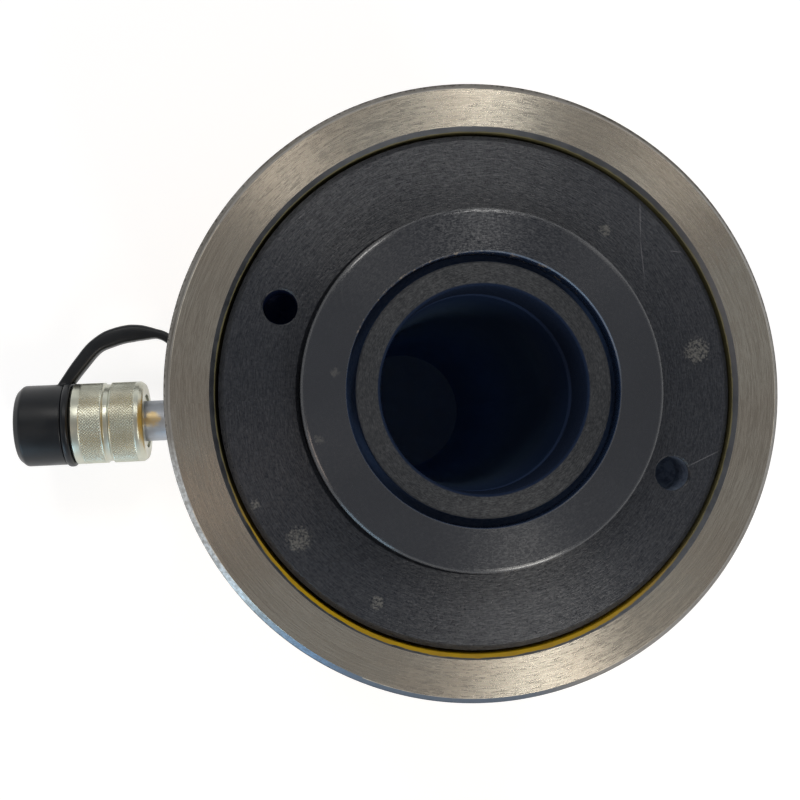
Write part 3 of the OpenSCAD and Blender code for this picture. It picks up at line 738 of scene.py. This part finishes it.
def barrel():
    n = 360
    section = barrel_section()
    core = make("barrel_core", revolve(section, n), quads(len(section), n, True), [])
    holes = [base_hole(-BASE_HOLE_OUT), base_hole(BASE_HOLE_OUT), port_hole()]
    core = open_collar(cut(core, make("barrel_holes", *join(*holes), [])))
    rows = (0, 0.125, 0.28, 0.4375, 0.5625, 0.6875, 0.84)
    thread = helix(rows, thread_radius, RELIEF_TOP, BODY_H, THREAD_PITCH, n)
    skins = [YELLOW, STEEL, THREAD, BASE, MOUTH]
    ob = make("barrel", *join(core, thread), skins, weld=2e-6)
    for face in ob.data.polygons:
        c = face.center / MM
        r = math.hypot(c.x, c.y)
        if c.z > BODY_H - 0.1 and r > MOUTH_R + MOUTH_CHAMFER:
            skin = STEEL
        elif c.z > PAINT_TOP + 1.5 and r > (MOUTH_R + COLLAR_R) / 2:
            skin = THREAD
        elif c.z > GLAND_SEAT:
            skin = MOUTH
        elif c.z < 0.05 or 3 < c.z < GLAND_SEAT and r < BORE_R + 0.9:
            skin = BASE
        else:
            skin = YELLOW
        face.material_index = skins.index(skin)
    return ob


body = barrel()
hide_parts("cylinder_body")
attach(body, "cylinder")


# Inlet: nipple, nut, cap, strap
PIPE_THREAD_DEPTH = 0.85
PIPE_THREAD_END = 86


def pipe_radius(phase, z):
    """Radius of the nipple: a taper thread that runs out where the nipple leaves the port."""
    down = np.interp(phase, [0, 0.1, 0.5, 0.6, 1], [0, 0, 1, 1, 0])
    depth = np.interp(z, [NIPPLE_IN, PIPE_THREAD_END - 1.5, PIPE_THREAD_END], [1, 1, 0])
    lean = np.interp(z, [NIPPLE_IN, PIPE_THREAD_END], [0.55, 0])
    return NIPPLE_R - lean - PIPE_THREAD_DEPTH * down * depth


def nipple():
    n = 96
    bevel = 1.0
    start = NIPPLE_IN + bevel
    end = NIPPLE_END - bevel
    bore = NIPPLE_R - 3.9
    wall = helix((0, 0.1, 0.3, 0.5, 0.6, 0.8), pipe_radius, start, end, INCH / 18, n)
    start_r = float(pipe_radius(0.0, start))
    end_r = float(pipe_radius(0.0, end))
    ends = [(start_r - PIPE_THREAD_DEPTH, start), (start_r - bevel, NIPPLE_IN), (bore, NIPPLE_IN),
            (bore, NIPPLE_END), (end_r - bevel, NIPPLE_END), (end_r, end)]
    points, faces = join(wall, (revolve(ends, n), quads(len(ends), n)))
    return make("pipe_nipple", lay(points), faces, [NIPPLE], angle=40)


def union_nut():
    """Nut with a lipped back, two knurled bands with a groove between them and a bored front."""
    n = KNURL_TEETH * KNURL_STEPS
    back = NUT_BACK + 0.1
    first = (NUT_BACK + 3.6, NUT_BACK + 13.7)
    second = (NUT_BACK + 17.1, NUT_BACK + 26.2)
    neck_r = 11.3
    recess_r = 12.85
    bore_r = 14.2
    lip = back + 0.8
    recess_end = back + 3.3
    step = back + 6.3
    back_bevel = 1.3
    back_rise = 1.9
    front_bevel = 0.9
    bore_bevel = 0.8
    groove_r = NUT_R - 0.7
    margin = 0.2
    slope = 0.8
    angle = np.arange(n) * TAU / n
    rows = []

    def ring(r, u):
        rows.append(np.stack([r * np.cos(angle), r * np.sin(angle), np.full(n, u)], -1))

    def smooth(profile, radii, steps):
        for r, u in rounded(profile, radii, steps):
            ring(r, u)

    def knurl(start, end):
        diamonds = round((end - start) / KNURL_PITCH)
        about = angle * KNURL_TEETH / TAU
        fade = 0.35
        for u in np.linspace(start, end, diamonds * KNURL_STEPS + 1):
            along = (u - start) / (end - start) * diamonds
            left = np.abs((about + along) % 1 - 0.5) * 2
            right = np.abs((about - along) % 1 - 0.5) * 2
            height = np.minimum(np.minimum(left, right) * 1.25, 1.0)
            deep = max(min(1.0, (u - start) / fade, (end - u) / fade), 0.0)
            ring(NUT_R - KNURL_DEPTH * (1 - height) * deep, u)

    smooth([(neck_r, step), (neck_r, recess_end), (recess_r, recess_end), (recess_r, lip), (neck_r, lip),
            (neck_r, back), (NUT_R - back_bevel, back), (NUT_R, back + back_rise),
            (NUT_R, first[0] - margin)], {6: 1.4, 7: 1.4}, 4)
    knurl(*first)
    smooth([(NUT_R, first[1] + margin), (groove_r, first[1] + slope), (groove_r, second[0] - slope),
            (NUT_R, second[0] - margin)], {1: 0.3, 2: 0.3}, 3)
    knurl(*second)
    smooth([(NUT_R, second[1] + margin), (NUT_R, NUT_FRONT - front_bevel), (NUT_R - front_bevel, NUT_FRONT),
            (bore_r + bore_bevel, NUT_FRONT), (bore_r, NUT_FRONT - bore_bevel), (bore_r, step)],
           {1: 0.3, 2: 0.3, 3: 0.3}, 3)
    return make("knurled_nut", lay(np.concatenate(rows)), quads(len(rows), n, True), [ZINC], angle=38)


def dust_cap():
    """Cap with a hollow plug that fits the nut's bore."""
    n = 128
    back = NUT_FRONT + 3.35
    end = CAP_END - 0.1
    plug_r = 14.05
    cup_r = 11.05
    cup_floor_r = 9
    cup_floor = end - 6
    cup_side = end - 8
    crown_r = CAP_R - 2.4
    crown = end - 2.8
    profile = rounded([
        (0, cup_floor), (cup_floor_r, cup_floor), (cup_r, cup_side), (cup_r, CAP_IN + 0.2),
        (cup_r + 0.6, CAP_IN), (plug_r - 1, CAP_IN), (plug_r, CAP_IN + 1.6), (plug_r, back), (CAP_R, back),
        (CAP_R, crown), (crown_r, end), (0, end)],
        {2: 1.5, 4: 0.3, 5: 0.4, 6: 0.8, 8: 0.7, 9: 2.0, 10: 2.4}, 7)
    return make("rubber_cap", lay(revolve(profile, n)), quads(len(profile), n), [RUBBER], angle=50)


# Middle line of the strap from the cap to the nipple, as (x, y) at the inlet's height
STRAP_LINE = ((-150.0, 10.6), (-146.2, 14.5), (-138.4, 24.7), (-130.6, 33.0), (-120.4, 37.0), (-110.3, 37.5),
              (-102.0, 35.4), (-95.6, 28.0), (-93.0, 16.0), (-93.0, 10.6), (-93.0, 6.0))


def strap_arch():
    """The strap's arch, of rounded section, swelling in the middle. Its first rows lie on the cap."""
    n = 28
    rows_on_cap = 12
    path = smooth_path(np.array(STRAP_LINE), 9)
    step = np.gradient(path, axis=0)
    step /= np.linalg.norm(step, axis=1)[:, None]
    side = np.stack([-step[:, 1], step[:, 0]], -1)
    s = np.concatenate([[0], np.cumsum(np.linalg.norm(np.diff(path, axis=0), axis=1))])
    s /= s[-1]
    half_thick = np.interp(s, [0, 0.15, 0.3, 0.36, 0.48, 0.54, 0.61, 1],
                           [2.6, 3.0, 3.2, 3.7, 3.7, 3.2, 2.0, 2.2])
    half_wide = np.interp(s, [0, 0.2, 0.8, 1], [4.3, 4.0, 4.0, 3.4])
    q = np.arange(n) * TAU / n
    across = np.sign(np.cos(q)) * np.abs(np.cos(q)) ** 0.5
    up = np.sign(np.sin(q)) * np.abs(np.sin(q)) ** 0.5
    rows = []
    for i in range(len(path)):
        xy = path[i] + np.outer(across * half_thick[i], side[i])
        z = up * half_wide[i]
        if i < rows_on_cap:
            lift = np.maximum((CAP_R + 0.1) / np.hypot(xy[:, 1], z), 1)
            xy[:, 1] *= lift
            z = z * lift
        rows.append(np.column_stack([xy, PORT_Z + z]))
    ends = [tuple(range(n)), tuple(range((len(rows) - 1) * n, len(rows) * n))]
    return np.concatenate(rows), quads(len(rows), n) + ends


def strap_ring(inner, outer, start, end, inner_round, outer_round):
    """A ring of rounded section about the inlet axis."""
    n = 128
    section = rounded([(inner, start), (outer, start), (outer, end), (inner, end)],
                      {0: inner_round, 1: outer_round, 2: outer_round, 3: inner_round}, 5)
    return lay(revolve(section, n)), quads(len(section), n, True)


def strap():
    """One moulding: a loop on the cap, an arch and a ring on the nipple."""
    loop_in = NUT_FRONT + 0.2
    loop = strap_ring(14.2, CAP_R + 0.9, loop_in, loop_in + 3, 0.4, 1.2)
    ring = strap_ring(NIPPLE_R + 0.15, NIPPLE_R + 3.6, STRAP_RING_IN, STRAP_RING_IN + 6, 0.5, 1.4)
    return make("rubber_strap", *join(strap_arch(), loop, ring), [RUBBER], angle=50)


pipe = nipple()
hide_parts("port_nipple")
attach(pipe, "cylinder")
nut = union_nut()
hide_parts("union_nut")
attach(nut, "union_nut")
cap = dust_cap()
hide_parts("dust_cap")
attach(cap, "dust_cap")
tether = strap()
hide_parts("cap_strap")
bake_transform(tether)


# Springs that shorten
def spring(name, node, body):
    """A smooth-shaded copy of a spring's solid that shortens with a joint."""
    me = nodes[node].data.copy()
    me.name = name
    ob = bpy.data.objects.new(name, me)
    scene.collection.objects.link(ob)
    me.shade_smooth()
    me.set_sharp_from_angle(angle=math.radians(35))
    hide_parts(node)
    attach(ob, body)
    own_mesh(ob)


spring("coil_return", "return_spring", "cylinder")
spring("coil_check", "check_spring", "cylinder")


# Floor, light, camera
def floor_white():
    """Plain pale to bounced light, and white with the object's shadow to the camera and in reflections."""
    p = Paint("floor_white")
    p.tree.nodes.remove(p.bsdf)
    ray = p.add("LightPath").outputs
    seen = p.math("MAXIMUM", ray["Is Camera Ray"], ray["Is Glossy Ray"])
    seen = p.math("MAXIMUM", seen, ray["Is Transmission Ray"])
    lit = p.add("BsdfDiffuse", Color=(0.8, 0.8, 0.8, 1)).outputs[0]
    shadowed = p.add("BsdfDiffuse", Color=(0.4, 0.4, 0.4, 1)).outputs[0]
    strength = p.ramp(p.vector("LENGTH", p.place())["Value"], 200.0, 2500.0, 0.74, 0.9)
    glow = p.add("Emission", Color=(1, 1, 1, 1), Strength=strength).outputs[0]
    pale = p.add("AddShader")
    p.put(pale, {0: shadowed, 1: glow})
    both = p.add("MixShader")
    p.put(both, {0: seen, 1: lit, 2: pale.outputs[0]})
    p.put(p.tree.nodes["Material Output"], {"Surface": both.outputs[0]})
    return p.mat


def floor():
    """Pale floor. The patch under the base isn't white to the camera, so the hole looks into shade; it is
    pale blue, a painted bluish light at the bottom of the hole.
    """
    n = 96
    patch_r = 70
    spread = 90
    drop = 0.2
    a = np.arange(n) * TAU / n
    rim = np.stack([patch_r * np.cos(a), patch_r * np.sin(a), 0 * a], -1) * MM
    me = bpy.data.meshes.new("floor")
    points = np.concatenate([rim, rim * spread])
    me.from_pydata([tuple(v) for v in points], [], quads(2, n) + [tuple(range(n))])
    ob = bpy.data.objects.new("floor", me)
    ob.location.z = -drop * MM
    scene.collection.objects.link(ob)
    me.materials.append(floor_white())
    # Pale blue patch: painted bluish light seen down the hole.
    me.materials.append(Paint("floor_shaded", Base_Color=(0.55, 0.7, 0.9, 1), Roughness=0.9).mat)
    me.polygons[n].material_index = 1


def sky():
    """White to the camera. To everything else, near white at the horizon and grey overhead."""
    world = bpy.data.worlds.new("studio")
    scene.world = world
    world.use_nodes = True
    tree = world.node_tree
    add = tree.nodes.new
    link = tree.links.new
    height = add("ShaderNodeSeparateXYZ")
    link(add("ShaderNodeTexCoord").outputs["Generated"], height.inputs[0])
    shade = add("ShaderNodeValToRGB")
    horizon, zenith = shade.color_ramp.elements
    horizon.position = 0.05
    horizon.color = (0.95, 0.95, 0.95, 1)
    zenith.position = 0.6
    zenith.color = (0.27, 0.27, 0.28, 1)
    link(height.outputs["Z"], shade.inputs[0])
    ray = add("ShaderNodeLightPath").outputs
    seen = add("ShaderNodeMath")
    seen.operation = "MAXIMUM"
    link(ray["Is Camera Ray"], seen.inputs[0])
    link(ray["Is Transmission Ray"], seen.inputs[1])
    mix = add("ShaderNodeMix")
    mix.data_type = "RGBA"
    link(seen.outputs[0], mix.inputs[0])
    link(shade.outputs[0], mix.inputs[6])
    mix.inputs[7].default_value = (1, 1, 1, 1)
    link(mix.outputs[2], tree.nodes["Background"].inputs["Color"])


LAMP_AIM = Vector((0, 0, 0.2))
LAMP_REACH = 1.1


def lamp(name, azimuth, height, power, size, colour):
    """A rectangular lamp that the camera can't see, aimed at the top of the object."""
    light = bpy.data.lights.new(name, "AREA")
    light.shape = "RECTANGLE"
    light.size, light.size_y = size
    light.energy = power
    light.color = colour
    ob = bpy.data.objects.new(name, light)
    scene.collection.objects.link(ob)
    a = math.radians(azimuth)
    b = math.radians(height)
    out = Vector((math.cos(a) * math.cos(b), math.sin(a) * math.cos(b), math.sin(b)))
    ob.location = LAMP_AIM + out * LAMP_REACH
    ob.visible_camera = False
    ob.rotation_euler = out.to_track_quat("Z", "Y").to_euler()


# Name, degrees round, degrees up, watts, size in metres and colour
LAMPS = (
    ("lamp_low", 294, 46, 3.9, (0.24, 0.5), (1.0, 0.97, 0.92)),
    ("lamp_top", 74, 48, 1.8, (0.12, 0.4), (1.0, 0.98, 0.95)),
    ("lamp_upper_left", 118, 46, 1.8, (0.2, 0.4), (1.0, 0.97, 0.93)),
    ("lamp_right", 40, 44, 0.5, (0.2, 0.4), (1.0, 0.97, 0.93)),
    ("lamp_left", 200, 42, 0.9, (0.25, 0.4), (1.0, 0.82, 0.7)),
    ("lamp_window", 232, 2, 2.2, (0.45, 0.35), (0.42, 0.74, 1.0)),
)

# Camera at the photograph's place; its turn is a rotation vector, in radians, from looking straight down
SENSOR = 36
IMAGE_PX = 800
FOCAL_PX = 1132.8
CAMERA_TURN = Vector((-0.02927, -0.08281, -0.04457))
CAMERA_PLACE = Vector((-0.044, -0.0092, 0.5219))


def place_camera():
    eye = bpy.data.cameras.new("camera")
    eye.sensor_width = SENSOR
    eye.lens = SENSOR * FOCAL_PX / IMAGE_PX
    eye.clip_start = 0.01
    camera = bpy.data.objects.new("camera", eye)
    scene.collection.objects.link(camera)
    look = Matrix.Rotation(CAMERA_TURN.length, 3, CAMERA_TURN) @ Matrix.Diagonal((1, -1, -1))
    view = Matrix((look[0], -look[1], -look[2])).transposed().to_4x4()
    camera.matrix_world = Matrix.Translation(CAMERA_PLACE) @ view
    scene.camera = camera


floor()
sky()
for spec in LAMPS:
    lamp(*spec)
place_camera()
